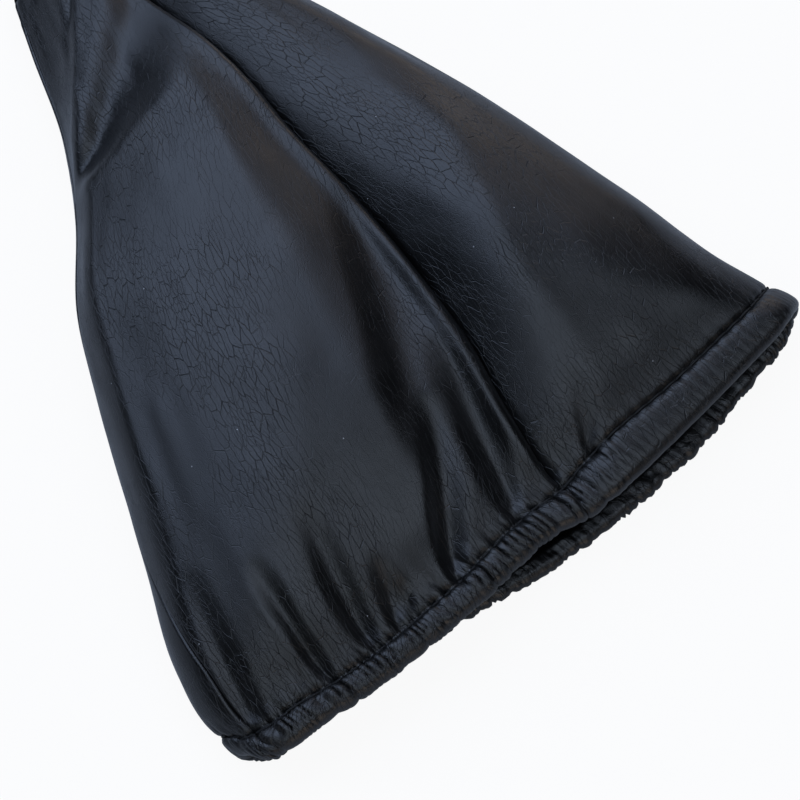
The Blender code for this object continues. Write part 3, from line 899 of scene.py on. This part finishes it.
def stitching(name, tree, material, points, outward, sizes):
    """A row of stitches as one plain mesh, along a closed path of points."""
    path = bpy.data.meshes.new(name + "_path")
    count = len(points)
    path.from_pydata((np.array(points) * MM).tolist(),
                     [(i, (i + 1) % count) for i in range(count)], [])
    layer = path.attributes.new("outward", "FLOAT_VECTOR", "POINT")
    layer.data.foreach_set("vector", np.array(outward, float).ravel())
    obj = add(name, path)
    modifier = obj.modifiers.new("stitches", "NODES")
    modifier.node_group = tree
    values = {**sizes, "Thread": material}
    for item in tree.interface.items_tree:
        if item.item_type == "SOCKET" and item.in_out == "INPUT" and item.name in values:
            modifier[item.identifier] = values[item.name]
    depsgraph = bpy.context.evaluated_depsgraph_get()
    mesh = bpy.data.meshes.new_from_object(obj.evaluated_get(depsgraph))
    obj.modifiers.clear()
    obj.data = mesh
    mesh.name = name
    return obj


def stitch_path(from_edge, lift):
    """The closed line that a row of stitches follows on the hem, and its outward side."""
    turns = np.interp(np.linspace(0, HEM_ROUND, STITCHES * 4, endpoint=False)
                      + STITCH_STEP / 2, ROUND_HEM - np.interp(FIRST_SEAM, ROUND_TURNS, ROUND_HEM),
                      ROUND_TURNS)
    along = hem_place(np.full(len(turns), from_edge), turns)
    inside = inward(along, turns)
    far = np.full(len(turns), 99.0)
    height = outside_height(turns, from_edge, far, far) + SKIN / 2 + lift
    return surface(along, turns) - inside * height[:, None], -inside


def ring_turns(along, count):
    """Turns evenly spaced round one cross section."""
    fine = np.linspace(0, 2, 2001)
    walk = walked_along(surface(along, fine))
    return np.interp(np.linspace(0, walk[-1], count, endpoint=False), walk, fine), walk[-1]


def neck_path(lift):
    """The closed line of the neck's stitches, its outward side and the number of stitches."""
    path = LENGTH - NECK_STITCH
    count = round(ring_turns(path / LENGTH, 4)[1] / STITCH_PITCH)
    turns = ring_turns(path / LENGTH, count * 4)[0]
    along = np.full(len(turns), path / LENGTH)
    inside = inward(along, turns)
    depth = 1.0 - SKIN / 2 - lift - neck_ripple(turns, path)
    return surface(along, turns) + inside * depth[:, None], -inside, count


def elastic_ring():
    """The flat elastic band that runs inside the hem's turning, drawn into ripples."""
    count, corner = 480, 0.3
    turns = ring_turns(5 / LENGTH, count)[0]
    low, high, near, far = 2.3, 7.0, 1.0, 1.9
    around = [(m, near) for m in np.linspace(low + corner, high - corner, 9)]
    around += [(high, near + corner), (high, far - corner)]
    around += [(m, far) for m in np.linspace(high - corner, low + corner, 9)]
    around += [(low, far - corner), (low, near + corner)]
    ripple = 0.15 * np.sin(2 * np.pi * np.arange(count) * 3 / 16)
    points = []
    for from_edge, depth in around:
        along = hem_place(np.full(count, from_edge), turns)
        points.append(surface(along, turns) + inward(along, turns) * (depth + ripple)[:, None])
    points = np.array(points)
    rows = len(around)
    faces = [(k * count + i, k * count + (i + 1) % count,
              (k + 1) % rows * count + (i + 1) % count, (k + 1) % rows * count + i)
             for k in range(rows) for i in range(count)]
    mesh = smooth_mesh("elastic_band", points.reshape(-1, 3), faces)
    mesh.update()
    return add("elastic_band", mesh)


# ---------------------------------------------------------------- pieces

leather = leathercloth()
thread = sewing_thread()
webbing = elastic_webbing()

for number, name in enumerate(COLUMNS):
    piece = panel(name, number)
    piece.data.materials.append(leather)
    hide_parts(name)
    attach(piece, "root")

tree = stitch_tree()
stitch_sizes = {"Stitch Length": 4.5 * MM, "Thread Radius": 0.33 * MM, "Dip": 0.5 * MM}
neck_points, neck_outward, neck_count = neck_path(0.1)
for name, points, outward, count, node in (
        ("hem_stitches", *stitch_path(STITCH_FROM_EDGE, 0.3), STITCHES, "hem_thread"),
        ("neck_stitches", neck_points, neck_outward, neck_count, "neck_thread")):
    stitches = stitching(name, tree, thread, points, outward, {**stitch_sizes, "Stitches": count})
    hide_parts(node)
    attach(stitches, "root")

elastic = elastic_ring()
elastic.data.materials.append(webbing)
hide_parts("hem_elastic")
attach(elastic, "root")


# ---------------------------------------------------------------- studio

FLOOR_Z = -0.0007       # just under the gathers' lowest point

LAMPS = (   # name, azimuth, elevation, distance, size, power, colour
    ("key", 186, 55, 1.1, (1.4, 1.25), 13.0, (0.57, 0.71, 1.0)),
    ("side", 116, 48, 1.1, (0.7, 0.9), 1.3, (0.82, 0.84, 1.0)),
    ("right", 122, 12, 1.1, (0.6, 0.36), 1.0, (1.0, 0.88, 0.82)),
    ("top", 335, 74, 1.1, (0.7, 0.6), 2.2, (0.68, 0.80, 1.0)),
    ("high_front", 25, 50, 1.3, (0.8, 0.6), 2.4, (0.72, 0.83, 1.0)),
    ("low_front", 350, 14, 1.2, (0.7, 0.5), 1.4, (1.0, 0.86, 0.76)),
    ("left", 318, 42, 1.2, (0.7, 0.5), 1.6, (0.74, 0.86, 1.0)))

# The photograph's viewpoint
VIEW_AZIMUTH, VIEW_ELEVATION, VIEW_DISTANCE = -38.9, 70, 0.51
VIEW_CENTRE = Vector((-0.00614, -0.05494, 0.012))


def plain_floor():
    """White floor that keeps the soft shadow under the gaiter."""
    mesh = bpy.data.meshes.new("floor")
    mesh.from_pydata([(-3, -3, 0), (3, -3, 0), (3, 3, 0), (-3, 3, 0)], [], [(0, 1, 2, 3)])
    floor = add("floor", mesh)
    floor.location.z = FLOOR_Z
    finish = Finish("floor_white", (0.5, 0.5, 0.5), 0.8)
    tree = finish.tree
    path = tree.nodes.new("ShaderNodeLightPath")
    glow = tree.nodes.new("ShaderNodeEmission")
    glow.inputs["Strength"].default_value = 1.05
    mix = tree.nodes.new("ShaderNodeMixShader")
    share = Wire(finish, path.outputs["Is Camera Ray"]) * 0.88
    finish.put(mix, 0, share)
    tree.links.new(finish.shader.outputs[0], mix.inputs[1])
    tree.links.new(glow.outputs[0], mix.inputs[2])
    tree.links.new(mix.outputs[0], tree.nodes["Material Output"].inputs[0])
    mesh.materials.append(finish.material)


def stand_back(obj, centre, azimuth, elevation, distance):
    """Places a lamp or camera at a distance from a point and turns it to that point.
    Azimuth 0 looks at the hem and 90 at the right side, in degrees."""
    a, e = math.radians(azimuth), math.radians(elevation)
    back = Vector((math.sin(a) * math.cos(e), -math.cos(a) * math.cos(e), math.sin(e)))
    obj.location = centre + back * distance
    obj.rotation_mode = "QUATERNION"
    obj.rotation_quaternion = back.to_track_quat("Z", "Y")


def softbox(name, azimuth, elevation, distance, size, power, colour):
    """A square area lamp that faces the gaiter."""
    lamp = bpy.data.lights.new(name, "AREA")
    lamp.shape = "RECTANGLE"
    lamp.size, lamp.size_y = size
    lamp.energy = power
    lamp.color = colour
    stand_back(add(name, lamp), Vector((0, 0, 0)), azimuth, elevation, distance)


def studio():
    """The floor, the lamps and a white world that lights the gaiter only a little."""
    plain_floor()
    for lamp in LAMPS:
        softbox(*lamp)
    world = bpy.data.worlds.new("studio")
    bpy.context.scene.world = world
    world.use_nodes = True
    tree = world.node_tree
    back = tree.nodes["Background"]
    back.inputs[0].default_value = (1, 1, 1, 1)
    path = tree.nodes.new("ShaderNodeLightPath")
    strength = tree.nodes.new("ShaderNodeMapRange")
    strength.inputs["To Min"].default_value = 0.012
    strength.inputs["To Max"].default_value = 1.0
    tree.links.new(path.outputs["Is Camera Ray"], strength.inputs[0])
    tree.links.new(strength.outputs[0], back.inputs[1])
    bpy.context.scene.view_settings.view_transform = "Standard"


def camera():
    """The photograph's viewpoint: steep, from the hem's left."""
    data = bpy.data.cameras.new("camera")
    data.lens, data.sensor_width = 85, 36
    data.clip_start = 0.01
    obj = add("camera", data)
    stand_back(obj, VIEW_CENTRE, VIEW_AZIMUTH, VIEW_ELEVATION, VIEW_DISTANCE)
    bpy.context.scene.camera = obj


studio()
camera()
